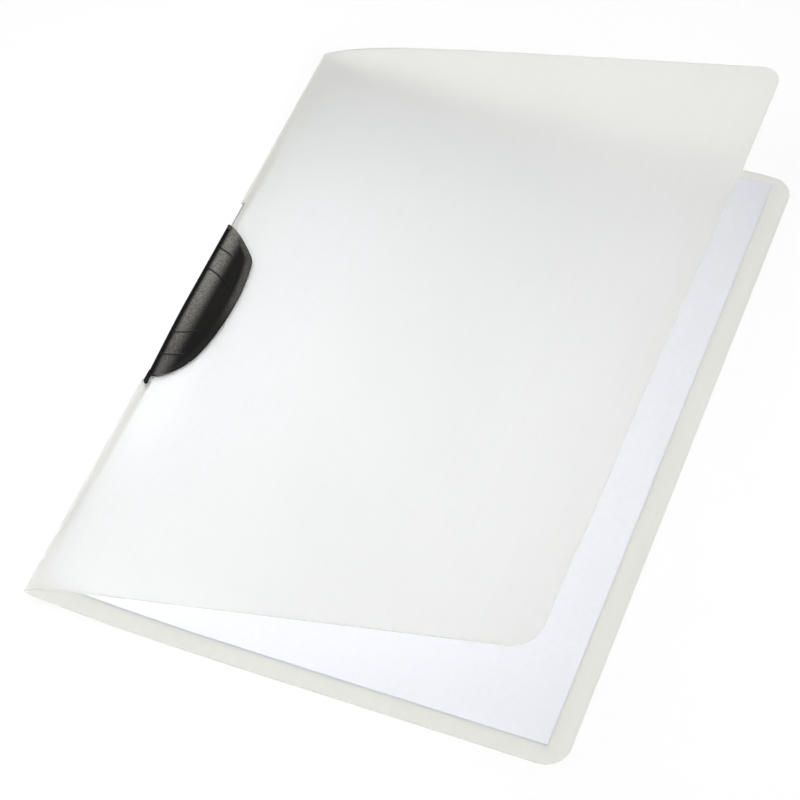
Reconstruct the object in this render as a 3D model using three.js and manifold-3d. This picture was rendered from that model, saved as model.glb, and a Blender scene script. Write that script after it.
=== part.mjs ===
// Clip folder: one sheet of frosted plastic folded along a spine, a stack of A4 paper inside,
// and a black moulded clip that swings out of a slot in the spine.
// Millimetres. +Y runs along the spine, +X from the spine to the free edges, +Z up from the table.
import * as THREE from 'three';
import { mergeVertices } from 'three/addons/utils/BufferGeometryUtils.js';
import Module from 'manifold-3d';

const { degToRad, lerp, smoothstep } = THREE.MathUtils;

// Folded sheet
const coverWidth = 224; // along the sheet, from the fold to a free edge
const coverHeight = 310;
const sheetThickness = 0.5;
const cornerRadius = 10;
const outOfSquare = 1.2; // the front cover is this much wider at its bottom end and narrower at its top
const foldHeight = 7.1; // middle of the fold above the table
const foldRadius = 1.2; // to the middle of the sheet

// How the sheet stands open: a quick bulge next to the fold, then a nearly straight slope
const bottomEnd = { slope: 0.33, bulge: 3, bulgeLength: 8 };
const topEnd = { slope: 0.247, bulge: 7.7, bulgeLength: 21 };
const backSettle = 110; // from the fold, where the back cover lies flat at its two ends
const gripSettle = 100; // the same beside the clip

// Where the clip grips, the two covers lie parallel
const gripWidth = 18; // from the fold
const gripBend = 4; // length over which the front cover leaves the grip
const gripMargin = 5; // along the spine, past the clip
const gripFade = 75; // along the spine, until the clip has no more effect

// Paper
const paperWidth = 210;
const paperHeight = 297;
const paperThickness = 1;
const paperFoldGap = 4.4; // from the fold to the paper's left edge
const paperBottomMargin = 7.8;

// Clip
const clipLength = 89.3; // from the pivot to the top corner
const clipReach = 21.7; // from the fold to the widest point of the rim
const clipTop = 43.6; // above the middle of the spine
const webInset = 0.5; // outer face of the web, in from the fold
const webTaper = 1; // further inset at the pivot end
const webWall = 0.9;
const webRounding = 1.3;
const crownHeight = 3; // half of the clip's thickness next to the web
const crownWidth = 8.5;
const valleyHeight = 2.5; // half of the thickness in the hollow band
const valleyStart = 13;
const lipWidth = 4;
const lipRise = 0.4;
const lipOpening = 0.5;
const rimRounding = 0.12;
const grooveWidth = 0.45;
const grooveDepth = 0.3;

// Pivot of the clip, at the lower end of the slot
const pivotInset = 2.4; // from the fold
const pivotRadius = 0.75;
const tongueWidth = 1.6;
const tongueHeight = 2.6; // half of the thickness over both tongues
const tongueRoot = 2; // how far a tongue runs into its leaf
const webStart = 3.6; // from the pivot, leaves room to swing past the fold

// Slot in the spine
const slotTop = 59; // above the middle of the spine
const slotStart = 1.5; // above the pivot

const clearance = 0.3;
const closeAngle = degToRad(19); // the front cover turns down this far from the way it stands
const creaseGap = 0.4; // between the margin and the front cover where the crease is straight

const halfHeight = coverHeight / 2;
const halfSheet = sheetThickness / 2;
const foldX = foldRadius + halfSheet; // centre of the fold, with its outer face at x = 0
const gripInside = foldRadius + halfSheet + clearance; // half of the clip's mouth
const pivotY = clipTop - clipLength;
const gripHalf = Math.max(clipTop, -pivotY) + gripMargin;

// Heights of the middle of the sheet above the table

function gripShare(y) {
  return 1 - smoothstep(Math.abs(y), gripHalf, gripHalf + gripFade);
}

function openHeight(x, y) {
  const up = y / coverHeight + 0.5;
  const run = Math.max(x - foldX, 0);
  const bulgeLength = lerp(bottomEnd.bulgeLength, topEnd.bulgeLength, up);
  const bulge = lerp(bottomEnd.bulge, topEnd.bulge, up) * (1 - Math.exp(-run / bulgeLength));
  return foldHeight + foldRadius + bulge + lerp(bottomEnd.slope, topEnd.slope, up) * run;
}

function gripFrontHeight(x, y) {
  const base = foldHeight + foldRadius;
  const run = Math.max(x - gripWidth, 0);
  const slope = (openHeight(coverWidth, y) - base) / (coverWidth - gripWidth - gripBend);
  return base + slope * (run - gripBend * (1 - Math.exp(-run / gripBend)));
}

function frontHeight(x, y) {
  return lerp(openHeight(x, y), gripFrontHeight(x, y), gripShare(y));
}

function backHeight(x, y) {
  const rise = foldHeight - foldRadius - halfSheet;
  const atEnd = Math.max(1 - Math.max(x - foldX, 0) / (backSettle - foldX), 0) ** 3;
  const atGrip = 1 - smoothstep(x, gripWidth, gripSettle);
  return halfSheet + rise * lerp(atEnd, atGrip, gripShare(y));
}

// How far a cover of a given width reaches sideways when it follows a height function
function reachOf(heightAt, y, width) {
  const step = 0.5;
  let length = foldRadius * Math.PI / 2;
  let x = foldX;
  while (length < width) {
    const rise = heightAt(x + step, y) - heightAt(x, y);
    const part = Math.hypot(step, rise);
    x += step * Math.min(1, (width - length) / part);
    length += part;
  }
  return x;
}

const backReach = reachOf(backHeight, 0, coverWidth);
const frontReach = (y) => reachOf(frontHeight, y, coverWidth - outOfSquare * y / halfHeight);

// The crease that the front cover turns on runs just outside the clip's rim.
// Beside the clip it lies lower than at the ends, so there the cover slides in when it closes.
const creaseHeight = (x) => Math.max(openHeight(x, -halfHeight), openHeight(x, halfHeight));
const slideAt = (x, y) => Math.max(creaseHeight(x) - frontHeight(x, y), 0) * Math.sin(closeAngle);
const rimEdge = clipReach + clearance;
const hingeX = rimEdge + slideAt(rimEdge, 0) / 2 - creaseGap / 2;
const hingeZ = creaseHeight(hingeX) + sheetThickness; // above the sheet, so that it folds back on itself
const coverStart = (y) => hingeX + slideAt(hingeX, y) / 2;
const marginEnd = (y) => hingeX - slideAt(hingeX, y) / 2 - creaseGap;

// Mesh helpers

function closedGeometry(positions, indices) {
  const geometry = new THREE.BufferGeometry();
  geometry.setAttribute('position', new THREE.Float32BufferAttribute(positions, 3));
  geometry.setIndex(indices);
  return geometry;
}

// A thin sheet around a grid of middle points: middle(i, j) for columns i and rows j
function sheetGeometry(columns, rows, thickness, middle) {
  const positions = [];
  const indices = [];
  const point = (i, j) => new THREE.Vector3(...middle(i, j));
  const size = (columns + 1) * (rows + 1);
  const at = (i, j, side) => side * size + i * (rows + 1) + j;
  for (const side of [1, -1]) {
    for (let i = 0; i <= columns; i++) {
      for (let j = 0; j <= rows; j++) {
        const across = point(Math.min(i + 1, columns), j).sub(point(Math.max(i - 1, 0), j));
        const along = point(i, Math.min(j + 1, rows)).sub(point(i, Math.max(j - 1, 0)));
        const normal = across.cross(along).normalize();
        positions.push(...point(i, j).addScaledVector(normal, side * thickness / 2));
      }
    }
  }
  const quad = (a, b, c, d) => indices.push(a, b, c, a, c, d);
  for (let i = 0; i < columns; i++) {
    for (let j = 0; j < rows; j++) {
      quad(at(i, j, 0), at(i + 1, j, 0), at(i + 1, j + 1, 0), at(i, j + 1, 0));
      quad(at(i, j, 1), at(i, j + 1, 1), at(i + 1, j + 1, 1), at(i + 1, j, 1));
    }
    quad(at(i, 0, 0), at(i, 0, 1), at(i + 1, 0, 1), at(i + 1, 0, 0));
    quad(at(i, rows, 0), at(i + 1, rows, 0), at(i + 1, rows, 1), at(i, rows, 1));
  }
  for (let j = 0; j < rows; j++) {
    quad(at(0, j, 0), at(0, j + 1, 0), at(0, j + 1, 1), at(0, j, 1));
    quad(at(columns, j, 0), at(columns, j, 1), at(columns, j + 1, 1), at(columns, j + 1, 0));
  }
  return closedGeometry(positions, indices);
}

// A solid through a row of closed sections, each a list of [x, z] at its own y
function loftGeometry(sections) {
  const count = sections[0].outline.length;
  const positions = [];
  const indices = [];
  for (const { y, outline } of sections) {
    for (const [x, z] of outline) positions.push(x, y, z);
  }
  for (let s = 0; s + 1 < sections.length; s++) {
    for (let k = 0; k < count; k++) {
      const a = s * count + k;
      const b = s * count + (k + 1) % count;
      indices.push(a, b, a + count, b, b + count, a + count);
    }
  }
  const capOf = ({ outline }) => THREE.ShapeUtils.triangulateShape(
    outline.map(([x, z]) => new THREE.Vector2(x, z)), []);
  const last = (sections.length - 1) * count;
  for (const [a, b, c] of capOf(sections[0])) indices.push(a, b, c);
  for (const [a, b, c] of capOf(sections.at(-1))) indices.push(last + a, last + c, last + b);
  return closedGeometry(positions, indices);
}

const wasm = await Module();
wasm.setup();

function toSolid(geometry) {
  const bare = geometry.clone();
  bare.deleteAttribute('normal');
  bare.deleteAttribute('uv');
  const merged = mergeVertices(bare, 1e-5);
  return new wasm.Manifold(new wasm.Mesh({
    numProp: 3,
    vertProperties: new Float32Array(merged.attributes.position.array),
    triVerts: new Uint32Array(merged.index.array),
  }));
}

function toGeometry(solid) {
  const mesh = solid.getMesh();
  return closedGeometry(Array.from(mesh.vertProperties), Array.from(mesh.triVerts));
}

function addPart(group, name, geometry, look) {
  const shape = geometry.index ? geometry.toNonIndexed() : geometry;
  shape.computeVertexNormals();
  const mesh = new THREE.Mesh(shape, new THREE.MeshStandardMaterial(look));
  mesh.name = name;
  group.add(mesh);
}

// Covers

const rowCount = 26;
const cornerSteps = 5;

// Half of the cover's height at a distance in from its free edge, inside the corner's rounding
function halfHeightAt(edgeDistance) {
  const into = Math.max(cornerRadius - edgeDistance, 0);
  return halfHeight - cornerRadius + Math.sqrt(cornerRadius ** 2 - into ** 2);
}

// Distances in from the free edge that follow the corner's arc
const cornerStops = Array.from({ length: cornerSteps + 1 }, (_, k) => (
  cornerRadius * (1 - Math.cos(k / cornerSteps * Math.PI / 2))
));

const rowY = (j, half) => half * (2 * j / rowCount - 1);

// One list of columns runs from the back cover's free edge round the fold to the end of the margin
function foldedSheetGeometry() {
  const backSteps = 13;
  const foldSteps = 8;
  const marginSteps = 7;
  const flatWidth = backReach - cornerRadius - foldX;
  const path = cornerStops.map((stop) => ({
    half: halfHeightAt(stop),
    place: (y) => [backReach - stop, backHeight(backReach - stop, y)],
  }));
  for (let k = backSteps - 1; k > 0; k--) {
    const x = foldX + flatWidth * (k / backSteps) ** 1.5;
    path.push({ half: halfHeight, place: (y) => [x, backHeight(x, y)] });
  }
  for (let k = 0; k <= foldSteps; k++) {
    const angle = Math.PI * (1.5 - k / foldSteps);
    const x = foldX + foldRadius * Math.cos(angle);
    const z = foldHeight + foldRadius * Math.sin(angle);
    path.push({ half: halfHeight, place: () => [x, z] });
  }
  for (let k = 1; k <= marginSteps; k++) {
    const place = (y) => {
      const x = lerp(foldX, marginEnd(y), k / marginSteps);
      return [x, frontHeight(x, y)];
    };
    path.push({ half: halfHeight, place });
  }
  return sheetGeometry(path.length - 1, rowCount, sheetThickness, (i, j) => {
    const y = rowY(j, path[i].half);
    const [x, z] = path[i].place(y);
    return [x, y, z];
  });
}

// The slot that the clip's web stands in, and the hole for its pivot
function spineCutters() {
  const low = pivotY + slotStart;
  const lowInset = pivotInset + clearance;
  const topInset = webInset + webWall + clearance;
  const deep = 10;
  const slot = new THREE.Shape();
  slot.moveTo(-1, low);
  slot.lineTo(lowInset, low);
  slot.lineTo(lowInset, low + webStart * 2);
  slot.quadraticCurveTo(topInset, lerp(low, 0, 0.6), topInset, 0);
  slot.lineTo(topInset, slotTop - topInset / 2);
  slot.quadraticCurveTo(topInset, slotTop, topInset / 2, slotTop);
  slot.lineTo(-1, slotTop);
  const slotCutter = new THREE.ExtrudeGeometry(slot, { depth: deep, bevelEnabled: false, curveSegments: 6 });
  slotCutter.translate(0, 0, foldHeight - deep / 2);
  const hole = new THREE.CylinderGeometry(pivotRadius + clearance, pivotRadius + clearance, deep, 20);
  hole.rotateX(Math.PI / 2);
  hole.translate(pivotInset, pivotY, foldHeight);
  return [slotCutter, hole];
}

function backCoverAndSpine() {
  let solid = toSolid(foldedSheetGeometry());
  for (const cutter of spineCutters()) solid = solid.subtract(toSolid(cutter));
  return toGeometry(solid);
}

function frontCover() {
  const spanSteps = 14;
  const path = [];
  for (let k = 0; k < spanSteps; k++) {
    const place = (y) => lerp(coverStart(y), frontReach(y) - cornerRadius, (k / spanSteps) ** 1.4);
    path.push({ half: halfHeight, place });
  }
  for (const stop of cornerStops.toReversed()) {
    path.push({ half: halfHeightAt(stop), place: (y) => frontReach(y) - stop });
  }
  return sheetGeometry(path.length - 1, rowCount, sheetThickness, (i, j) => {
    const y = rowY(j, path[i].half);
    const x = path[i].place(y);
    return [x, y, frontHeight(x, y)];
  });
}

// Paper, lying on the back cover

function paperStack() {
  const columnCount = 14;
  const rise = halfSheet + clearance + paperThickness / 2;
  const bottom = paperBottomMargin - halfHeight;
  return sheetGeometry(columnCount, rowCount, paperThickness, (i, j) => {
    const x = paperFoldGap + paperWidth * (i / columnCount) ** 1.5;
    const y = bottom + paperHeight * j / rowCount;
    return [x, y, backHeight(x, y) + rise];
  });
}

// Clip

// Rim of the leaf, from its top corner round the widest point to the tongue
function rimCurve() {
  const rim = new THREE.Path();
  rim.moveTo(webInset + webRounding, clipTop);
  rim.lineTo(16.4, 31.7);
  rim.quadraticCurveTo(19.1, 29.3, 19.9, 24);
  rim.bezierCurveTo(clipReach + 1.3, 8, clipReach - 0.1, -14, 17.2, -27.8);
  rim.bezierCurveTo(14, -36, 8.2, -41.8, pivotInset + tongueWidth / 2 + 0.3, pivotY + 2.3);
  return rim;
}

function webLine(y) {
  const near = smoothstep(-y, 0, -pivotY);
  return webInset + webTaper * near;
}

// One half of the closed section, from the middle of the web over the crown to the rim and back
function clipHalfSection(y, rimX) {
  const outer = webLine(y);
  const inner = outer + webWall;
  const crown = lerp(crownHeight, tongueHeight, smoothstep(-y, 30, -pivotY));
  const rounding = Math.min(webRounding, (rimX - outer) / 2);
  const outside = (x) => {
    const body = lerp(crown, Math.min(crown, valleyHeight), smoothstep(x, crownWidth, valleyStart));
    return body + lipRise * Math.max(1 - (rimX - x) / lipWidth, 0) ** 2;
  };
  const inside = (x) => gripInside + lipOpening * Math.max(1 - (rimX - x) / lipWidth, 0) ** 2;
  const points = [[outer, 0]];
  const roundSteps = 4;
  for (let k = 0; k < roundSteps; k++) {
    const angle = k / roundSteps * Math.PI / 2;
    const x = outer + rounding * (1 - Math.cos(angle));
    points.push([x, crown - rounding * (1 - Math.sin(angle))]);
  }
  const topSteps = 9;
  for (let k = 0; k <= topSteps; k++) {
    const x = lerp(outer + rounding, rimX - rimRounding, k / topSteps);
    points.push([x, outside(x)]);
  }
  points.push([rimX, (outside(rimX) + inside(rimX)) / 2]);
  const insideSteps = 6;
  for (let k = 0; k <= insideSteps; k++) {
    const x = lerp(rimX - rimRounding, inner, (k / insideSteps) ** 1.5);
    points.push([x, inside(x)]);
  }
  return points;
}

function clipBody() {
  const stations = rimCurve().getPoints(12).filter(({ y }) => y > pivotY + webStart);
  const ordered = stations.sort((a, b) => a.y - b.y);
  const sections = ordered.map(({ x, y }) => {
    const half = clipHalfSection(y, x);
    const mirrored = half.slice(1).reverse().map(([px, pz]) => [px, -pz]);
    return { y, outline: [...half, ...mirrored] };
  });
  return loftGeometry(sections);
}

function tongue(side) {
  const shape = new THREE.Shape();
  const half = tongueWidth / 2;
  shape.absarc(pivotInset, pivotY, half, Math.PI, 0);
  shape.lineTo(pivotInset + half, pivotY + webStart + tongueRoot);
  shape.lineTo(pivotInset - half, pivotY + webStart + tongueRoot);
  const depth = tongueHeight - gripInside;
  const geometry = new THREE.ExtrudeGeometry(shape, { depth, bevelEnabled: false, curveSegments: 10 });
  geometry.translate(0, 0, side > 0 ? gripInside : -tongueHeight);
  return geometry;
}

function pivotPost() {
  const post = new THREE.CylinderGeometry(pivotRadius, pivotRadius, gripInside + tongueHeight, 20);
  post.rotateX(Math.PI / 2);
  post.translate(pivotInset, pivotY, 0);
  return post;
}

// A groove is a thin curved wall that cuts only the crown, so it runs out in the hollow band
function groove(from, bend, to) {
  const steps = 8;
  const line = new THREE.QuadraticBezierCurve(from, bend, to);
  const left = [];
  const right = [];
  for (let k = 0; k <= steps; k++) {
    const point = line.getPoint(k / steps);
    const tangent = line.getTangent(k / steps);
    const normal = new THREE.Vector2(-tangent.y, tangent.x).multiplyScalar(grooveWidth / 2);
    left.push(point.clone().add(normal));
    right.unshift(point.clone().sub(normal));
  }
  const wall = new THREE.ExtrudeGeometry(new THREE.Shape([...left, ...right]), {
    depth: crownHeight,
    bevelEnabled: false,
  });
  wall.translate(0, 0, crownHeight - grooveDepth);
  return wall;
}

const grooveLines = [
  [[-1, 31], [4.5, 30.8], [11, 26.8]],
  [[-1, 18.6], [6.5, 18.8], [14, 11.5]],
  [[-1, -19], [6.5, -18.6], [14, -13.8]],
  [[-1, -31.8], [5.5, -31], [13, -27]],
];

function swingClip() {
  let solid = toSolid(clipBody());
  for (const piece of [tongue(1), tongue(-1), pivotPost()]) solid = solid.add(toSolid(piece));
  for (const line of grooveLines) {
    const [from, bend, to] = line.map(([x, y]) => new THREE.Vector2(x, y));
    solid = solid.subtract(toSolid(groove(from, bend, to)));
  }
  const geometry = toGeometry(solid);
  geometry.translate(0, 0, foldHeight);
  return geometry;
}

const folder = new THREE.Group();
folder.position.x = -backReach / 2;
const frosted = { color: '#e2e4df', roughness: 0.5, metalness: 0 };
addPart(folder, 'back_cover_and_spine', backCoverAndSpine(), frosted);
addPart(folder, 'front_cover', frontCover(), { ...frosted, color: '#e8e9e5' });
addPart(folder, 'paper_stack', paperStack(), { color: '#f3f5fa', roughness: 0.9, metalness: 0 });
addPart(folder, 'swing_clip', swingClip(), { color: '#343230', roughness: 0.5, metalness: 0 });

export default folder;
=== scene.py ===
"""Clip folder: frosted plastic folder standing open, ten sheets of paper and a moulded swing clip.

Lengths are in millimetres in the row frame and become metres when a mesh is made.
+Y runs along the spine, +X from the spine to the free edges, +Z up from the table.
"""

import math
import bmesh
import bpy
import numpy as np
from mathutils import Matrix, Vector


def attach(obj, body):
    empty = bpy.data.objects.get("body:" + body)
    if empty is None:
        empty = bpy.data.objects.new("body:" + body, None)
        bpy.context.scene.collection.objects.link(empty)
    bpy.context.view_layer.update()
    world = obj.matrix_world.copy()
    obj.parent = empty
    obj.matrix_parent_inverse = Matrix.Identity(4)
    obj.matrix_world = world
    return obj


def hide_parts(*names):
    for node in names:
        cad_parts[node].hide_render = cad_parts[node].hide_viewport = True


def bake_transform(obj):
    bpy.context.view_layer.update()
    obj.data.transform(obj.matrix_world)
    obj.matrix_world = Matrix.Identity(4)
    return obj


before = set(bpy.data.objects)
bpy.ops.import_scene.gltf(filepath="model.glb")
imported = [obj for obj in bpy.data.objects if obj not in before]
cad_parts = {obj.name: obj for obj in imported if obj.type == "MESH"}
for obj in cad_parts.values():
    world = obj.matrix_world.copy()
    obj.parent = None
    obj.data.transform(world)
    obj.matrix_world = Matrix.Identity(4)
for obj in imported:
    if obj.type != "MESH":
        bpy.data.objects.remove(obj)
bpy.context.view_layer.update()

MM = 0.001

# Folder
COVER_WIDTH = 224.0
COVER_HEIGHT = 310.0
HALF = COVER_HEIGHT / 2
SHEET = 0.5
CORNER = 10.0
OUT_OF_SQUARE = 1.2
FOLD_HEIGHT = 7.1
FOLD_RADIUS = 1.2
FOLD_X = FOLD_RADIUS + SHEET / 2

# How the sheet stands: a bulge next to the fold, then a nearly straight slope
BOTTOM_SLOPE, BOTTOM_BULGE, BOTTOM_LENGTH = 0.33, 3.0, 8.0
TOP_SLOPE, TOP_BULGE, TOP_LENGTH = 0.247, 7.7, 21.0
BACK_SETTLE = 110.0
GRIP_SETTLE = 100.0
GRIP_WIDTH = 18.0
GRIP_BEND = 4.0
GRIP_HALF = 50.7
GRIP_FADE = 75.0

# Paper
PAPER_WIDTH = 210.0
PAPER_HEIGHT = 297.0
PAPER_LEFT = 4.4
PAPER_BOTTOM = 7.8 - HALF
PAPER_SHEETS = 10
PAPER_PITCH = 0.1
LEAF_SHARE = 0.95
PAPER_SLIP = 0.18
CLEARANCE = 0.3

# Clip
CLIP_TOP = 43.6
PIVOT_X = 2.4
PIVOT_Y = -45.7
PIVOT_RADIUS = 0.75
WEB_INSET = 0.5
WEB_TAPER = 1.0
WEB_WALL = 0.9
WEB_ROUNDING = 1.3
WEB_START = 3.6
CROWN = 3.0
CROWN_WIDTH = 8.5
VALLEY = 2.5
VALLEY_START = 13.0
LIP_WIDTH = 4.0
LIP_RISE = 0.4
LIP_OPENING = 0.5
MOUTH = FOLD_RADIUS + SHEET / 2 + CLEARANCE
TONGUE_HEIGHT = 2.6
TONGUE_HALF = 0.8
SLOT_TOP = 59.0
SLOT_START = 1.5
EDGE_DROP, EDGE_REACH = 0.22, 0.18
RIM_NIB = 0.06

# Where the front cover's tint is painted whiter as painted light, near the paper, and left plainer
# as painted shade at the bulge: the gap, the rows that the clip holds, the bulge
NEAR_GAP, FAR_GAP = 12, 60
HELD_ROWS = 55, 140
BULGE_ROWS = 15, 65
BULGE_WIDTH = 8, 32

# Mesh
ROWS = 96
ROW_SHARE = np.linspace(-1, 1, ROWS + 1)
SHARP_SHEET, SHARP_CLIP = 40, 35
CUTTER_HALF = 5.0


# ---------------------------------------------------------------- numbers

def lerp(a, b, t):
    return a + (b - a) * t


def smoothstep(x, low, high):
    t = np.clip((np.asarray(x, float) - low) / (high - low), 0, 1)
    return t * t * (3 - 2 * t)


def grip_share(y):
    """1 in the rows that the clip holds, 0 at the ends of the spine."""
    return 1 - smoothstep(np.abs(y), GRIP_HALF, GRIP_HALF + GRIP_FADE)


def open_height(x, y):
    """Middle of the front cover where nothing grips it."""
    up = y / COVER_HEIGHT + 0.5
    run = np.maximum(x - FOLD_X, 0)
    length = lerp(BOTTOM_LENGTH, TOP_LENGTH, up)
    bulge = lerp(BOTTOM_BULGE, TOP_BULGE, up) * (1 - np.exp(-run / length))
    return FOLD_HEIGHT + FOLD_RADIUS + bulge + lerp(BOTTOM_SLOPE, TOP_SLOPE, up) * run


def grip_front_height(x, y):
    """Middle of the front cover beside the clip, flat under the leaf and straight from there."""
    base = FOLD_HEIGHT + FOLD_RADIUS
    run = np.maximum(x - GRIP_WIDTH, 0)
    slope = (open_height(COVER_WIDTH, y) - base) / (COVER_WIDTH - GRIP_WIDTH - GRIP_BEND)
    return base + slope * (run - GRIP_BEND * (1 - np.exp(-run / GRIP_BEND)))


def front_height(x, y):
    return lerp(open_height(x, y), grip_front_height(x, y), grip_share(y))


def back_height(x, y):
    """Middle of the back cover, which comes down from the fold to the table."""
    rise = FOLD_HEIGHT - FOLD_RADIUS - SHEET / 2
    at_end = np.maximum(1 - np.maximum(x - FOLD_X, 0) / (BACK_SETTLE - FOLD_X), 0) ** 3
    at_grip = 1 - smoothstep(x, GRIP_WIDTH, GRIP_SETTLE)
    return SHEET / 2 + rise * lerp(at_end, at_grip, grip_share(y))


def reach(height_at, y, width):
    """How far a cover of a given width reaches sideways when it follows a height function."""
    length = FOLD_RADIUS * math.pi / 2
    x = FOLD_X
    while length < width:
        rise = float(height_at(x + 0.5, y) - height_at(x, y))
        part = math.hypot(0.5, rise)
        x += 0.5 * min(1, (width - length) / part)
        length += part
    return x


BACK_REACH = reach(back_height, 0.0, COVER_WIDTH)
REACH_ROWS = np.linspace(-HALF, HALF, 15)
REACH_ENDS = [reach(front_height, v, COVER_WIDTH - OUT_OF_SQUARE * v / HALF) for v in REACH_ROWS]
ROW_X = -BACK_REACH / 2  # the fold's outer face in the row frame


# ---------------------------------------------------------------- meshes

def make_object(name, points, faces, materials, smooth=True):
    """A mesh object from points in mm measured from the fold, placed in the row frame."""
    data = bpy.data.meshes.new(name)
    co = (np.asarray(points, float) + np.array([ROW_X, 0, 0])) * MM
    data.from_pydata(co.tolist(), [], faces)
    for material in materials:
        data.materials.append(material)
    for polygon in data.polygons:
        polygon.use_smooth = smooth
    data.update()
    obj = bpy.data.objects.new(name, data)
    bpy.context.scene.collection.objects.link(obj)
    return obj


def bend(start, middle, end, t):
    """A curve that leaves start towards middle and arrives at end."""
    return (1 - t) ** 2 * start + 2 * t * (1 - t) * middle + t * t * end


def slab(middle, thickness):
    """A thin closed sheet around a grid of middle points, and the numbers of its edge faces."""
    columns, rows = middle.shape[:2]
    across = np.gradient(middle, axis=0)
    along = np.gradient(middle, axis=1)
    normal = np.cross(across, along)
    normal /= np.linalg.norm(normal, axis=2, keepdims=True)
    points = np.concatenate([
        (middle + normal * thickness / 2).reshape(-1, 3),
        (middle - normal * thickness / 2).reshape(-1, 3),
    ])
    size = columns * rows
    at = lambda i, j, side: side * size + i * rows + j
    faces = []
    for i in range(columns - 1):
        for j in range(rows - 1):
            faces.append((at(i, j, 0), at(i + 1, j, 0), at(i + 1, j + 1, 0), at(i, j + 1, 0)))
            faces.append((at(i, j, 1), at(i, j + 1, 1), at(i + 1, j + 1, 1), at(i + 1, j, 1)))
    wide = len(faces)
    top, end = rows - 1, columns - 1
    for i in range(end):
        faces.append((at(i, 0, 0), at(i, 0, 1), at(i + 1, 0, 1), at(i + 1, 0, 0)))
        faces.append((at(i, top, 0), at(i + 1, top, 0), at(i + 1, top, 1), at(i, top, 1)))
    for j in range(top):
        faces.append((at(0, j, 0), at(0, j + 1, 0), at(0, j + 1, 1), at(0, j, 1)))
        faces.append((at(end, j, 0), at(end, j, 1), at(end, j + 1, 1), at(end, j + 1, 0)))
    return points, faces, wide


def make_slab(name, middle, thickness, face_material, edge_material):
    """A sheet as an object, with its cut edges in a material of their own."""
    points, faces, wide = slab(middle, thickness)
    obj = make_object(name, points, faces, [face_material, edge_material])
    for polygon in list(obj.data.polygons)[wide:]:
        polygon.material_index = 1
        polygon.use_smooth = False
    mark_sharp(obj, SHARP_SHEET)
    return obj


def mark_sharp(obj, degrees):
    """Edges that turn more than this stay crisp under smooth shading."""
    mesh = bmesh.new()
    mesh.from_mesh(obj.data)
    for edge in mesh.edges:
        if len(edge.link_faces) == 2:
            edge.smooth = edge.calc_face_angle(0) < math.radians(degrees)
    mesh.to_mesh(obj.data)
    mesh.free()


def plain_mesh(obj):
    """Applies every modifier, so that the object holds only mesh data."""
    bpy.context.view_layer.update()
    graph = bpy.context.evaluated_depsgraph_get()
    data = bpy.data.meshes.new_from_object(obj.evaluated_get(graph))
    obj.modifiers.clear()
    old = obj.data
    obj.data = data
    bpy.data.meshes.remove(old)
    return obj


def extruded(outline, low, high):
    """A prism over a flat outline, used as a cutter."""
    count = len(outline)
    points = [(x, y, low) for x, y in outline] + [(x, y, high) for x, y in outline]
    faces = [tuple(range(count))[::-1], tuple(range(count, 2 * count))]
    for k in range(count):
        faces.append((k, (k + 1) % count, (k + 1) % count + count, k + count))
    return points, faces


def face_outwards(obj):
    """Turns every face so that its front looks out of the solid."""
    mesh = bmesh.new()
    mesh.from_mesh(obj.data)
    bmesh.ops.recalc_face_normals(mesh, faces=mesh.faces)
    mesh.to_mesh(obj.data)
    mesh.free()


def combine(obj, operation, solid, material, smooth):
    """Welds a solid to an object (UNION) or cuts it out of it (DIFFERENCE)."""
    points, faces = solid
    other = make_object("other", points, faces, [material], smooth)
    face_outwards(other)
    modifier = obj.modifiers.new("combine", "BOOLEAN")
    modifier.operation = operation
    modifier.solver = "EXACT"
    modifier.material_mode = "TRANSFER"
    modifier.object = other
    plain_mesh(obj)
    bpy.data.objects.remove(other)


def cut(obj, outlines, material):
    """Cuts prisms through the folded sheet; the new walls take the given material."""
    for outline in outlines:
        prism = extruded(outline, FOLD_HEIGHT - CUTTER_HALF, FOLD_HEIGHT + CUTTER_HALF)
        combine(obj, "DIFFERENCE", prism, material, False)
    return obj


def corner_stops():
    """Distances from the free edge at which the rounded corners get a column of points."""
    steps = 10
    return [CORNER * (1 - math.cos(k / steps * math.pi / 2)) for k in range(steps + 1)]


def half_height_at(edge_distance):
    """Half of the cover's height, less near the free edge because of the round corners."""
    into = max(CORNER - edge_distance, 0)
    return HALF - CORNER + math.sqrt(CORNER ** 2 - into ** 2)


# ---------------------------------------------------------------- materials

def linear(code):
    """An sRGB hex colour as linear RGBA."""
    parts = [int(code[k:k + 2], 16) / 255 for k in (1, 3, 5)]
    light = [c / 12.92 if c <= 0.04045 else ((c + 0.055) / 1.055) ** 2.4 for c in parts]
    return (*light, 1.0)


def new_material(name):
    material = bpy.data.materials.new(name)
    material.use_nodes = True
    material.node_tree.nodes.clear()
    return material


def add(tree, kind, settings=None, inputs=None):
    """One node with its settings, and with values or links on its inputs."""
    node = tree.nodes.new(kind)
    for key, value in (settings or {}).items():
        setattr(node, key, value)
    for key, value in (inputs or {}).items():
        socket = node.inputs[key]
        if isinstance(value, bpy.types.NodeSocket):
            tree.links.new(value, socket)
        else:
            socket.default_value = value
    return node


def millimetres(tree, stretch=(1, 1, 1)):
    """Object coordinates in millimetres, stretched along an axis for drawn or rolled marks."""
    place = add(tree, "ShaderNodeTexCoord").outputs["Object"]
    scale = tuple(s / MM for s in stretch)
    node = add(tree, "ShaderNodeMapping", inputs={"Vector": place, "Scale": scale})
    return node.outputs["Vector"]


def noise(tree, place, size, detail=2.0, roughness=0.5):
    """Noise whose features are about size mm wide."""
    return add(tree, "ShaderNodeTexNoise", inputs={
        "Vector": place, "Scale": 1 / size, "Detail": detail, "Roughness": roughness,
    }).outputs["Fac"]


def calc(tree, operation, first, second):
    node = add(tree, "ShaderNodeMath", {"operation": operation}, {0: first, 1: second})
    return node.outputs["Value"]


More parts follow.
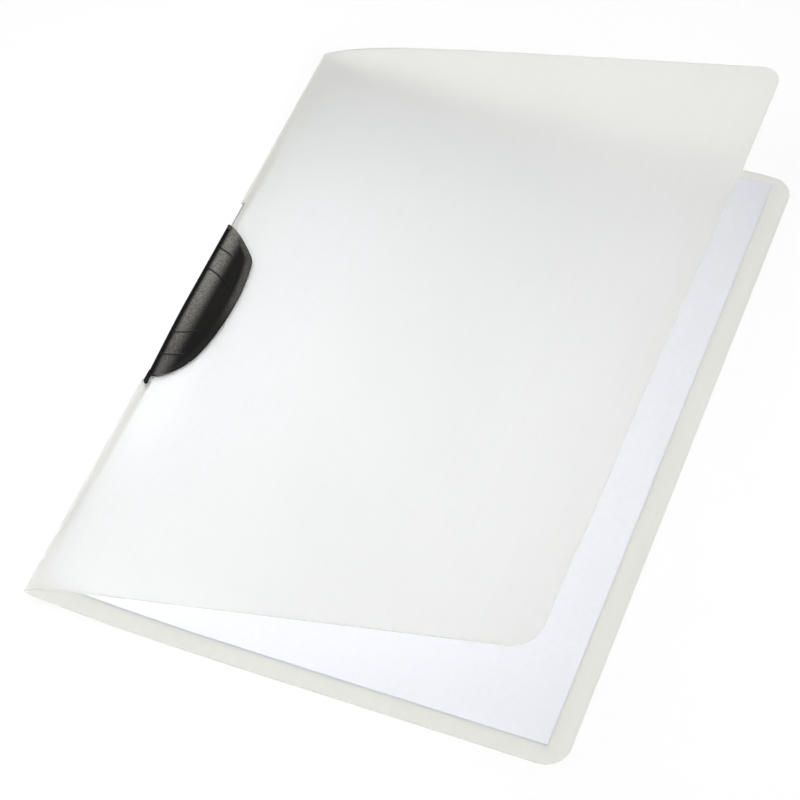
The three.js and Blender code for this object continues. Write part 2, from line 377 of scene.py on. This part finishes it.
def attribute(tree, name):
    return add(tree, "ShaderNodeAttribute", {"attribute_name": name}).outputs


def remap(tree, value, low, high, out_low=0, out_high=1):
    return add(tree, "ShaderNodeMapRange", inputs={
        "Value": value, "From Min": low, "From Max": high, "To Min": out_low, "To Max": out_high,
    }).outputs["Result"]


def blend_color(tree, factor, first, second):
    ends = {0: factor, 6: first, 7: second}
    return add(tree, "ShaderNodeMix", {"data_type": "RGBA"}, ends).outputs[2]


def bump(tree, height, distance_mm):
    inputs = {"Height": height, "Distance": distance_mm * MM, "Strength": 1.0}
    return add(tree, "ShaderNodeBump", inputs=inputs).outputs["Normal"]


def finish(tree, shader):
    add(tree, "ShaderNodeOutputMaterial", inputs={"Surface": shader})


def painted_slot_shade(tree, place):
    """1 in a line 0.4 mm wide along the slot in the spine, where the sheet's colour is darkened as
    painted shade.
    """
    axes = add(tree, "ShaderNodeSeparateXYZ", inputs={"Vector": place}).outputs
    inset = ROW_X + WEB_INSET + WEB_WALL + CLEARANCE
    low = PIVOT_Y + SLOT_START
    across = remap(tree, axes["X"], inset + 0.3, inset + 0.5, 1, 0)
    below = remap(tree, axes["Y"], SLOT_TOP - 0.6, SLOT_TOP - 0.2, 1, 0)
    above = remap(tree, axes["Y"], low, low + 0.3)
    return calc(tree, "MULTIPLY", calc(tree, "MULTIPLY", across, below), above)


def at_rest(tree, stretch=(1, 1, 1)):
    """Place on the sheet in millimetres as it was made, so the texture bends with the sheet."""
    ends = {0: attribute(tree, "rest")["Vector"], 1: stretch}
    return add(tree, "ShaderNodeVectorMath", {"operation": "MULTIPLY"}, ends).outputs["Vector"]


MILKINESS = 0.15


def frosted_sheet(name, tint, see_through, cloud, painted_lit_tint):
    """Extruded polypropylene sheet, 0.5 mm, embossed by a matt roller while warm.

    The roller leaves a fine grain that blurs what lies behind it: near things stay readable
    and far ones dissolve. The polypropylene itself is slightly milky, and the roller's pressure
    varies a little along the web, so the haze isn't quite even. Where the sheet lies near the
    paper in the rows that the clip holds, a mesh attribute paints the tint whiter as painted
    light; at the bulge beside the fold at the top it is left plainer as painted shade. The index
    of refraction is lower than polypropylene's 1.49, at which a rough watertight slab keeps light
    inside.
    """
    material = new_material(name)
    tree = material.node_tree
    place = at_rest(tree)
    along_web = at_rest(tree, (1, 0.06, 1))
    grain = noise(tree, place, 0.45, 3.0, 0.6)
    haze = noise(tree, along_web, 2.5, 2.0)
    scuff = noise(tree, at_rest(tree, (0.05, 1, 1)), 0.9, 2.0)
    surface = bump(tree, grain, 0.012)
    uneven = remap(tree, haze, 0.3, 0.7)
    mottle = calc(tree, "MULTIPLY", uneven, remap(tree, grain, 0.35, 0.65))
    # painted light: the tint turns whiter where the clip holds the sheet near the paper, and stays
    # plainer at the bulge by the fold as painted shade
    tint_and_painted_light = blend_color(tree, attribute(tree, "painted_light_share")["Fac"], linear(tint), linear(painted_lit_tint))
    colour = blend_color(tree, remap(tree, mottle, 0, 1, 0, 0.3), tint_and_painted_light, linear(cloud))
    # painted shade: a dark line along the edge of the slot in the spine
    colour = blend_color(tree, painted_slot_shade(tree, place), colour, linear("#8f8886"))
    roughness = remap(tree, scuff, 0.3, 0.75, 0.57, 0.61)
    shader = add(tree, "ShaderNodeBsdfPrincipled", inputs={
        "Base Color": colour,
        "Roughness": roughness,
        "IOR": 1.2,
        "Transmission Weight": see_through,
        "Normal": surface,
    }).outputs["BSDF"]
    milk = add(tree, "ShaderNodeBsdfTranslucent", inputs={"Color": colour, "Normal": surface})
    milky = {0: MILKINESS, 1: shader, 2: milk.outputs["BSDF"]}
    finish(tree, add(tree, "ShaderNodeMixShader", inputs=milky).outputs["Shader"])
    return material


def cut_edge(name, tint, see_through):
    """Die-cut edge of the same sheet: the steel rule leaves it matt, with a ragged tone along the
    cut, and its darker tint is painted shade for the dark line along the edge.
    """
    material = new_material(name)
    tree = material.node_tree
    ragged = noise(tree, millimetres(tree, (1, 1, 6)), 0.5, 2.0)
    colour = blend_color(tree, remap(tree, ragged, 0.3, 0.7), linear(tint), linear("#d9d8d3"))
    shader = add(tree, "ShaderNodeBsdfPrincipled", inputs={
        "Base Color": colour,
        "Roughness": 0.5,
        "IOR": 1.49,
        "Transmission Weight": see_through,
        "Normal": bump(tree, ragged, 0.02),
    }).outputs["BSDF"]
    finish(tree, shader)
    return material


def office_paper(name):
    """Uncoated 80 g/m2 copier paper: pressed wood fibre with optical brightener.

    Seen close it has a felted fibre texture and a faint cloudiness; the brightener makes it bluish.
    """
    material = new_material(name)
    tree = material.node_tree
    fibre = noise(tree, millimetres(tree, (1, 0.35, 1)), 0.35, 4.0, 0.65)
    cloudy = remap(tree, noise(tree, millimetres(tree), 2.5), 0.3, 0.7)
    colour = blend_color(tree, cloudy, linear("#f1f3fa"), linear("#eff1f8"))
    shader = add(tree, "ShaderNodeBsdfPrincipled", inputs={
        "Base Color": colour,
        "Roughness": 0.92,
        "Specular IOR Level": 0.25,
        "Normal": bump(tree, fibre, 0.02),
    }).outputs["BSDF"]
    finish(tree, shader)
    return material


def moulded_black(name):
    """Injection-moulded polypropylene, charcoal black.

    The mould is polished at the web and in the hollow band, which stay deep black, and grained by
    spark erosion on the crown and the lip, which are rougher. Their grey is painted light, fading
    down the leaf and towards the hollow band, and the grooves across them are left black as painted
    shade.
    """
    material = new_material(name)
    tree = material.node_tree
    place = millimetres(tree)
    grain = noise(tree, place, 0.3, 3.0, 0.6)
    patches = noise(tree, place, 5.0)
    specks = remap(tree, noise(tree, place, 0.55), 0.35, 0.65)
    # the grain's share, which sets roughness and also paints light and shade: grey where the crown
    # and lip are lit, black in the grooves
    grain_and_lit_share = attribute(tree, "grain_and_lit_share")["Fac"]
    # painted light: the grey of the grained parts; the black is the polished finish, and in the
    # grooves painted shade
    matt = blend_color(tree, specks, linear("#4c4a47"), linear("#7a7872"))
    colour = blend_color(tree, grain_and_lit_share, linear("#0b0a0a"), matt)
    polish = remap(tree, patches, 0.3, 0.7, -0.04, 0.04)
    rough = calc(tree, "ADD", remap(tree, grain_and_lit_share, 0, 1, 0.3, 0.55), polish)
    shader = add(tree, "ShaderNodeBsdfPrincipled", inputs={
        "Base Color": colour,
        "Roughness": rough,
        "IOR": 1.5,
        "Specular IOR Level": remap(tree, grain_and_lit_share, 0, 1, 0.06, 0.35),
        "Normal": bump(tree, grain, 0.03),
    }).outputs["BSDF"]
    finish(tree, shader)
    return material


# the last colour is the painted light tint, where the clip holds the front cover near the paper
sheet_front = frosted_sheet(
    "frosted polypropylene, front", "#f5f5f2", 0.9, "#e9e9e4", "#fbfbf9",
)
sheet_back = frosted_sheet(
    "frosted polypropylene, back", "#f2f2ee", 0.85, "#e4e4de", "#f2f2ee",
)
# Both edge tints are darker than the sheets as painted shade, the slot's walls darkest.
sheet_edge = cut_edge("die-cut sheet edge", "#ebebe7", 0.4)
slot_edge = cut_edge("punched slot edge", "#b9b5b2", 0.3)
paper = office_paper("copier paper")
black = moulded_black("moulded black polypropylene")


# ---------------------------------------------------------------- folded sheet

def slot_outline():
    """Opening in the spine for the clip's web, from just above the pivot."""
    low = PIVOT_Y + SLOT_START
    low_inset = PIVOT_X + CLEARANCE
    top_inset = WEB_INSET + WEB_WALL + CLEARANCE
    points = [(-1, low), (low_inset, low), (low_inset, low + 2 * WEB_START)]
    start = np.array([low_inset, low + 2 * WEB_START])
    middle = np.array([top_inset, lerp(low, 0, 0.6)])
    end = np.array([top_inset, 0])
    points += [tuple(bend(start, middle, end, k / 8)) for k in range(1, 9)]
    points += [(top_inset, SLOT_TOP - top_inset / 2), (top_inset * 0.85, SLOT_TOP - 0.25)]
    points += [(top_inset / 2, SLOT_TOP), (-1, SLOT_TOP)]
    return points


def circle_outline(x, y, radius, steps=32):
    turns = [2 * math.pi * k / steps for k in range(steps)]
    return [(x + radius * math.cos(t), y + radius * math.sin(t)) for t in turns]


def front_path():
    """Columns of middle points from under the fold, round it and out to the free edge."""
    columns = []
    fold_steps = 20
    y = ROW_SHARE * HALF
    for k in range(fold_steps + 1):
        angle = math.pi * (1.5 - k / fold_steps)
        x = np.full(ROWS + 1, FOLD_X + FOLD_RADIUS * math.cos(angle))
        z = np.full(ROWS + 1, FOLD_HEIGHT + FOLD_RADIUS * math.sin(angle))
        columns.append(np.stack([x, y, z], -1))
    ends = np.interp(y, REACH_ROWS, REACH_ENDS)
    span_steps = 64
    for k in range(1, span_steps):
        x = lerp(FOLD_X, ends - CORNER, (k / span_steps) ** 1.6)
        columns.append(np.stack([x, y, front_height(x, y)], -1))
    for stop in corner_stops()[::-1]:
        row = ROW_SHARE * half_height_at(stop)
        x = np.interp(row, REACH_ROWS, REACH_ENDS) - stop
        columns.append(np.stack([x, row, front_height(x, row)], -1))
    return np.array(columns)


def back_path():
    """Columns of middle points from the fold's lower edge to the back cover's free edge."""
    columns = []
    y = ROW_SHARE * HALF
    span_steps = 48
    for k in range(span_steps):
        x = np.full(ROWS + 1, lerp(FOLD_X, BACK_REACH - CORNER, (k / span_steps) ** 1.4))
        columns.append(np.stack([x, y, back_height(x, y)], -1))
    for stop in corner_stops()[::-1]:
        row = ROW_SHARE * half_height_at(stop)
        x = np.full(ROWS + 1, BACK_REACH - stop)
        columns.append(np.stack([x, row, back_height(x, row)], -1))
    return np.array(columns)


openings = [slot_outline(), circle_outline(PIVOT_X, PIVOT_Y, PIVOT_RADIUS + CLEARANCE)]
front = make_slab("spine_and_front_sheet", front_path(), SHEET, sheet_front, sheet_edge)
front = cut(front, openings, slot_edge)
back = make_slab("back_sheet", back_path()[:, ::-1], SHEET, sheet_back, sheet_edge)
back = cut(back, openings, slot_edge)


def mark_rest(obj):
    """Keeps every vertex's place in millimetres in the attribute that the texture reads."""
    mesh = obj.data
    places = np.empty(len(mesh.vertices) * 3, np.float32)
    mesh.vertices.foreach_get("co", places)
    mesh.attributes.new("rest", "FLOAT_VECTOR", "POINT").data.foreach_set("vector", places / MM)


def paint_light_where_gripped(obj):
    """How much painted light whitens the front cover's tint: 1 where the clip holds the cover near
    the paper, 0 where it bulges or stands off, which leaves painted shade at the bulge.
    """
    x, y, _ = np.array([v.co for v in obj.data.vertices], float).T / MM
    x = x - ROW_X
    gap = front_height(x, y) - back_height(x, y)
    # painted shade: near the fold at the top, where the sheet bulges, the whitening is taken away
    painted_bulge_shade = smoothstep(y, *BULGE_ROWS) * (1 - smoothstep(x, *BULGE_WIDTH))
    standing_off = smoothstep(gap, NEAR_GAP, FAR_GAP)
    # painted light: whiter where the clip holds the cover near the paper
    painted_whitening = (1 - standing_off) * (1 - smoothstep(y, *HELD_ROWS)) * (1 - painted_bulge_shade)
    share = obj.data.attributes.new("painted_light_share", "FLOAT", "POINT")
    share.data.foreach_set("value", painted_whitening.astype(np.float32))


paint_light_where_gripped(front)
mark_rest(front)
mark_rest(back)


# ---------------------------------------------------------------- paper

def paper_leaf():
    """One sheet of paper, following the back cover, with the first of the stack's heights."""
    columns = []
    steps = 30
    y = np.linspace(PAPER_BOTTOM, PAPER_BOTTOM + PAPER_HEIGHT, 61)
    for k in range(steps + 1):
        x = np.full(len(y), PAPER_LEFT + PAPER_WIDTH * (k / steps) ** 1.3)
        z = back_height(x, y) + SHEET / 2 + CLEARANCE + PAPER_PITCH / 2
        columns.append(np.stack([x, y, z], -1))
    points, faces, _ = slab(np.array(columns), PAPER_PITCH * LEAF_SHARE)
    obj = make_object("paper_sheets", points, faces, [paper])
    mark_sharp(obj, SHARP_SHEET)
    return obj


def stack_tree():
    """Lays copies of a sheet on top of each other, each pushed out of line a little."""
    tree = bpy.data.node_groups.new("paper_stack", "GeometryNodeTree")
    sockets = {
        "Geometry": "Geometry", "Sheets": "Int", "Pitch": "Float", "Slip": "Float", "Seed": "Int",
        "Material": "Material",
    }
    for name, kind in sockets.items():
        tree.interface.new_socket(name, in_out="INPUT", socket_type="NodeSocket" + kind)
    tree.interface.new_socket("Geometry", in_out="OUTPUT", socket_type="NodeSocketGeometry")
    given = add(tree, "NodeGroupInput").outputs
    step = add(tree, "ShaderNodeCombineXYZ", inputs={"Z": given["Pitch"]}).outputs["Vector"]
    line = add(tree, "GeometryNodeMeshLine", {"mode": "OFFSET"}, {
        "Count": given["Sheets"], "Offset": step,
    })
    least, most = (
        add(tree, "ShaderNodeVectorMath", {"operation": "SCALE"}, {
            0: corner, "Scale": given["Slip"],
        }).outputs["Vector"]
        for corner in ((-1, -1, 0), (1, 1, 0))
    )
    slip = add(tree, "FunctionNodeRandomValue", {"data_type": "FLOAT_VECTOR"}, {
        "Min": least, "Max": most, "Seed": given["Seed"],
    })
    moved = add(tree, "GeometryNodeSetPosition", inputs={
        "Geometry": line.outputs["Mesh"], "Offset": slip.outputs["Value"],
    })
    placed = add(tree, "GeometryNodeInstanceOnPoints", inputs={
        "Points": moved.outputs["Geometry"], "Instance": given["Geometry"],
    })
    real = add(tree, "GeometryNodeRealizeInstances", inputs={
        "Geometry": placed.outputs["Instances"],
    })
    done = add(tree, "GeometryNodeSetMaterial", inputs={
        "Geometry": real.outputs["Geometry"], "Material": given["Material"],
    })
    add(tree, "NodeGroupOutput", inputs={"Geometry": done.outputs["Geometry"]})
    return tree


def paper_stack():
    obj = paper_leaf()
    tree = stack_tree()
    modifier = obj.modifiers.new("stack", "NODES")
    modifier.node_group = tree
    values = {
        "Sheets": PAPER_SHEETS, "Pitch": PAPER_PITCH * MM, "Slip": PAPER_SLIP * MM, "Seed": 4,
        "Material": paper,
    }
    for item in tree.interface.items_tree:
        if item.in_out == "INPUT" and item.name in values:
            modifier[item.identifier] = values[item.name]
    return plain_mesh(obj)


stack = paper_stack()


# ---------------------------------------------------------------- clip

def bezier(p0, p1, p2, p3, steps):
    t = np.linspace(0, 1, steps + 1)[1:, None]
    p0, p1, p2, p3 = (np.array(p, float) for p in (p0, p1, p2, p3))
    return (1 - t) ** 3 * p0 + 3 * t * (1 - t) ** 2 * p1 + 3 * t * t * (1 - t) * p2 + t ** 3 * p3


def rim_line():
    """The leaf's rim from its top corner round the widest point to the tongue, as x for each y."""
    top = np.array([[WEB_INSET + WEB_ROUNDING, CLIP_TOP]])
    shoulder = bezier((1.8, 43.6), (5.6, 42.4), (12.4, 36.4), (16.4, 31.7), 30)
    nose = bezier((16.4, 31.7), (18.2, 30.1), (19.37, 27.5), (19.9, 24), 30)
    belly = bezier((19.9, 24), (23, 8), (21.6, -14), (17.2, -27.8), 60)
    tail = bezier((17.2, -27.8), (14, -36), (8.2, -41.8), (3.5, -43.4), 40)
    return np.concatenate([top, shoulder, nose, belly, tail])


RIM = rim_line()
RIM = RIM[RIM[:, 1].argsort()]
GROOVES = [
    [(-1, 31), (4.5, 30.8), (11, 26.8)],
    [(-1, 18.6), (8.5, 18.8), (20.6, 5.5)],
    [(-1, -19), (9, -18.5), (20, -9)],
    [(-1, -31.8), (8.5, -30.5), (18.2, -24.7)],
]
GROOVE_WIDTH = 0.55
GROOVE_DEPTH = 0.3


def rim_at(y):
    """How far the leaf reaches at y."""
    return np.interp(y, RIM[:, 1], RIM[:, 0])


def groove_depth(x, y):
    """Depth of the moulded grooves, which run over the crown and fade in the hollow band."""
    depth = np.zeros(np.broadcast(x, y).shape)
    t = np.linspace(0, 1, 81)
    for start, middle, end in GROOVES:
        gx, gy = (bend(*line, t) for line in zip(start, middle, end))
        away = np.sqrt((x[..., None] - gx) ** 2 + (y[..., None] - gy) ** 2)
        fade = 1 - smoothstep(gx[away.argmin(-1)], CROWN_WIDTH - 1, end[0])
        profile = np.exp(-(away.min(-1) / (GROOVE_WIDTH * 0.6)) ** 2)
        depth = np.maximum(depth, GROOVE_DEPTH * fade * profile)
    return depth


def clip_half(y, rim_x):
    """Half of the section at one station, from the middle of the web over the crown and back."""
    outer = WEB_INSET + WEB_TAPER * float(smoothstep(-y, 0, -PIVOT_Y))
    inner = outer + WEB_WALL
    crown = lerp(CROWN, TONGUE_HEIGHT, float(smoothstep(-y, 30, -PIVOT_Y)))
    rounding = min(WEB_ROUNDING, (rim_x - outer) / 2)

    def outside(x):
        body = lerp(crown, min(crown, VALLEY), smoothstep(x, CROWN_WIDTH, VALLEY_START))
        lip = LIP_RISE * np.maximum(1 - (rim_x - x) / LIP_WIDTH, 0) ** 2
        edge = EDGE_DROP * np.exp(-(rim_x - x) / EDGE_REACH)
        return body + lip - edge - groove_depth(x, np.full(len(x), y))

    def inside(x):
        return MOUTH + LIP_OPENING * np.maximum(1 - (rim_x - x) / LIP_WIDTH, 0) ** 2

    angle = np.linspace(0, math.pi / 2, 9)[:-1]
    wall_x = outer + rounding * (1 - np.cos(angle))
    wall_z = crown - rounding * (1 - np.sin(angle))
    over = np.linspace(0, 1, 72)
    over_x = lerp(outer + rounding, rim_x - RIM_NIB, 1 - (1 - over) ** 1.15)
    under = np.linspace(0, 1, 16) ** 1.3
    under_x = lerp(rim_x - RIM_NIB, inner, under)
    x = np.concatenate([[outer], wall_x, over_x, [rim_x], under_x])
    middle = (outside(np.array([rim_x]))[0] + inside(np.array([rim_x]))[0]) / 2
    z = np.concatenate([[0], wall_z, outside(over_x), [middle], inside(under_x)])
    return np.stack([x, z], -1)


def clip_body():
    stations = np.linspace(PIVOT_Y + WEB_START, CLIP_TOP, 251)
    points = []
    for y in stations:
        half = clip_half(float(y), float(rim_at(y)))
        lower = half[1:][::-1] * np.array([1, -1])
        x, z = np.concatenate([half, lower]).T
        points.append(np.stack([x, np.full(len(x), y), z + FOLD_HEIGHT], -1))
    points = np.array(points)
    count = points.shape[1]
    faces = []
    for s in range(len(points) - 1):
        for k in range(count):
            a, b = s * count + k, s * count + (k + 1) % count
            faces.append((a, b, b + count, a + count))
    last = (len(points) - 1) * count
    faces.append(tuple(range(count))[::-1])
    faces.append(tuple(last + k for k in range(count)))
    return points.reshape(-1, 3), faces


def tongue(side):
    """The round end of a leaf, over the pivot."""
    steps = 24
    outline = [(
        PIVOT_X - TONGUE_HALF * math.cos(math.pi * k / steps),
        PIVOT_Y - TONGUE_HALF * math.sin(math.pi * k / steps),
    ) for k in range(steps + 1)]
    top = PIVOT_Y + WEB_START + 2
    outline += [(PIVOT_X + TONGUE_HALF, top), (PIVOT_X - TONGUE_HALF, top)]
    low, high = sorted((side * MOUTH, side * TONGUE_HEIGHT))
    return extruded(outline, FOLD_HEIGHT + low, FOLD_HEIGHT + high)


# Grain and painted light on the clip, as the distances over which they start and end
GRAIN_FROM_WEB = 1.8, 3.9
GRAIN_END = 5.5, 11.5
LIT_FADE_ROWS = -35, 15
LIP_GRAIN_FROM, LIP_GRAIN_FULL, LIP_GRAIN_END = 4.5, 2.0, 0.4
LIP_LIT_ROWS = -12, 14
LIP_GRAIN = 0.35


def grain_and_lit_at(x, y, z):
    """1 on the grained crown and lip, 0 on the polished web and in the hollow band. It sets the
    roughness and the painted light: it fades down the leaf and towards the hollow band, and drops
    in the grooves as painted shade.
    """
    rim_x = rim_at(y)
    outer = WEB_INSET + WEB_TAPER * smoothstep(-y, 0, -PIVOT_Y)
    # painted light: the crown's grey fades out towards the hollow band
    crown = smoothstep(x - outer, *GRAIN_FROM_WEB) * (1 - 0.97 * smoothstep(x, *GRAIN_END))
    # painted light: the crown's grey halves towards the bottom of the leaf
    crown = crown * (0.5 + 0.5 * smoothstep(y, *LIT_FADE_ROWS))
    lip = smoothstep(x, rim_x - LIP_GRAIN_FROM, rim_x - LIP_GRAIN_FULL)
    lip = lip * (1 - smoothstep(x, rim_x - LIP_GRAIN_END, rim_x)) * LIP_GRAIN
    # painted light: the lip's grey fades towards the bottom of the leaf
    lip = lip * (0.15 + 0.85 * smoothstep(y, *LIP_LIT_ROWS))
    outside = smoothstep(np.abs(z - FOLD_HEIGHT), MOUTH + 0.1, MOUTH + 0.4)
    # painted shade: the grooves are left black
    grooved = np.minimum(groove_depth(x, y) / GROOVE_DEPTH * 1.8, 0.97)
    return np.maximum(crown, lip) * outside * (1 - grooved)


def swing_clip():
    points, faces = clip_body()
    obj = make_object("moulded_clip", points, faces, [black])
    face_outwards(obj)
    post_half = MOUTH + 0.3
    post_outline = circle_outline(PIVOT_X, PIVOT_Y, PIVOT_RADIUS)
    post = extruded(post_outline, FOLD_HEIGHT - post_half, FOLD_HEIGHT + post_half)
    for solid in (tongue(1), tongue(-1), post):
        combine(obj, "UNION", solid, black, True)
    mark_sharp(obj, SHARP_CLIP)
    x, y, z = np.array([v.co for v in obj.data.vertices], float).T / MM
    share = obj.data.attributes.new("grain_and_lit_share", "FLOAT", "POINT")
    share.data.foreach_set("value", grain_and_lit_at(x - ROW_X, y, z).astype(np.float32))
    return obj


clip = swing_clip()


# ---------------------------------------------------------------- frame

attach(back, "root")
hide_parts("back_cover_and_spine")
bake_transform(front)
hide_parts("front_cover")
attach(stack, "root")
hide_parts("paper_stack")
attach(clip, "clip_body")
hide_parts("swing_clip")


# ---------------------------------------------------------------- stage, lamps and camera

def background_ray(tree):
    """1 for rays that should find the white background: seen, mirrored or looked through to."""
    path = add(tree, "ShaderNodeLightPath").outputs
    seen = calc(tree, "MAXIMUM", path["Is Camera Ray"], path["Is Glossy Ray"])
    seen = calc(tree, "MAXIMUM", seen, path["Is Transmission Ray"])
    # Light that has bounced off a dull surface only finds the lamps and the ambient light
    direct = calc(tree, "LESS_THAN", path["Diffuse Depth"], 0.5)
    return calc(tree, "MULTIPLY", seen, direct)


def make_floor():
    """A flat white table under the folder that keeps its shadow."""
    material = new_material("white table")
    tree = material.node_tree
    weave = noise(tree, millimetres(tree), 0.6, 2.0)
    shader = add(tree, "ShaderNodeBsdfDiffuse", inputs={
        "Color": linear("#fbfbfb"), "Roughness": 0.5, "Normal": bump(tree, weave, 0.01),
    }).outputs["BSDF"]
    white = add(tree, "ShaderNodeEmission", inputs={"Color": (1, 1, 1, 1), "Strength": 1.0})
    share = remap(tree, background_ray(tree), 0, 1, 0, 0.85)
    both = {0: share, 1: shader, 2: white.outputs["Emission"]}
    finish(tree, add(tree, "ShaderNodeMixShader", inputs=both).outputs["Shader"])
    half = 3.0
    low = -0.2 * MM  # clear of the back sheet's underside, so that the two don't coincide
    data = bpy.data.meshes.new("table")
    corners = [(-half, -half, low), (half, -half, low), (half, half, low), (-half, half, low)]
    data.from_pydata(corners, [], [(0, 1, 2, 3)])
    data.materials.append(material)
    obj = bpy.data.objects.new("table", data)
    bpy.context.scene.collection.objects.link(obj)
    return obj


def add_softbox(name, place, aim, size, power):
    lamp = bpy.data.lights.new(name, "AREA")
    lamp.shape = "SQUARE"
    lamp.size = size
    lamp.energy = power
    obj = bpy.data.objects.new(name, lamp)
    bpy.context.scene.collection.objects.link(obj)
    obj.location = place
    obj.rotation_euler = (Vector(aim) - Vector(place)).to_track_quat("-Z", "Y").to_euler()
    return obj


def set_world(ambient):
    """Even ambient light, and plain white wherever the camera looks past the table."""
    world = bpy.data.worlds.new("studio")
    bpy.context.scene.world = world
    world.use_nodes = True
    tree = world.node_tree
    tree.nodes.clear()
    strength = remap(tree, background_ray(tree), 0, 1, ambient, 1.0)
    shader = add(tree, "ShaderNodeBackground", inputs={"Color": (1, 1, 1, 1), "Strength": strength})
    add(tree, "ShaderNodeOutputWorld", inputs={"Surface": shader.outputs["Background"]})


def set_camera():
    """Camera fitted to the covers' straight edges in the photo."""
    axes = np.array([
        [0.93036577, 0.36380144, -0.04547569],
        [0.26481107, -0.75257795, -0.60291087],
        [-0.25356385, 0.54888518, -0.79651142],
    ])
    turn = Matrix([[axes[0][k], -axes[1][k], -axes[2][k]] for k in range(3)]).to_4x4()
    data = bpy.data.cameras.new("camera")
    data.sensor_width = 36.0
    data.lens = 114.84
    data.clip_end = 10.0
    obj = bpy.data.objects.new("camera", data)
    bpy.context.scene.collection.objects.link(obj)
    obj.matrix_world = Matrix.Translation((0.2597, -0.5947, 0.8433)) @ turn
    bpy.context.scene.camera = obj


make_floor()
add_softbox("key", (1.35, -0.95, 1.05), (0, 0, 0), 0.9, 16.8)
add_softbox("top", (-0.08, -0.06, 0.36), (-0.07, -0.05, 0), 0.28, 1.15)
set_world(0.33)
set_camera()
bpy.context.scene.view_settings.view_transform = "Standard"
